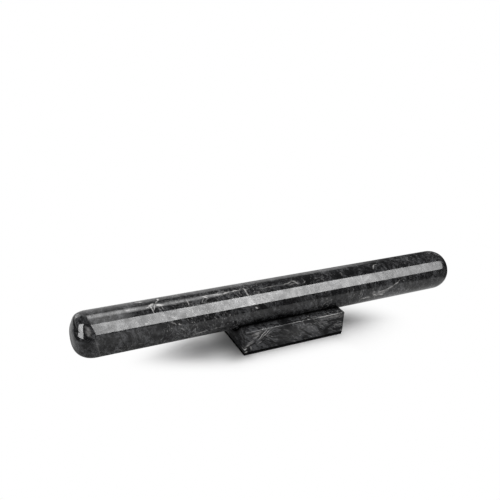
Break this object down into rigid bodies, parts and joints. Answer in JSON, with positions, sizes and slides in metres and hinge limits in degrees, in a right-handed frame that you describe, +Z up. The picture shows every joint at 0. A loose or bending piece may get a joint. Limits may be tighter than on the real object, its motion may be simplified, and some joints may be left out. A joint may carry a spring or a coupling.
{
  "type": "marble rolling pin with base",
  "caption": "Slender handle-free marble rolling pin with rounded ends, resting in the round cradle of a small marble block with an anti-slip pad.",
  "frame": {"origin": "on the worktop under the middle of the base block, which is also under the middle of the pin", "axes": "+X along the pin to its far end in the picture, +Y across it to the back, +Z up; the viewer stands on the -Y side"},
  "size_m": [0.4, 0.062, 0.0552],
  "materials": {
    "pin_marble": "black marble with grey clouds and fine white veins, polished",
    "base_marble": "black marble with grey streaks and white veins, polished",
    "pad_rubber": "matte"
  },
  "bodies": {
    "base": {"base_block": "base_marble", "base_pad": "pad_rubber"},
    "pin": {"rolling_pin": "pin_marble"}
  },
  "joints": [
    {"name": "pin_lift", "type": "slide", "parent": "base", "child": "pin", "axis": [0, 0, 1], "range_m": [0, 0.08]}
  ]
}
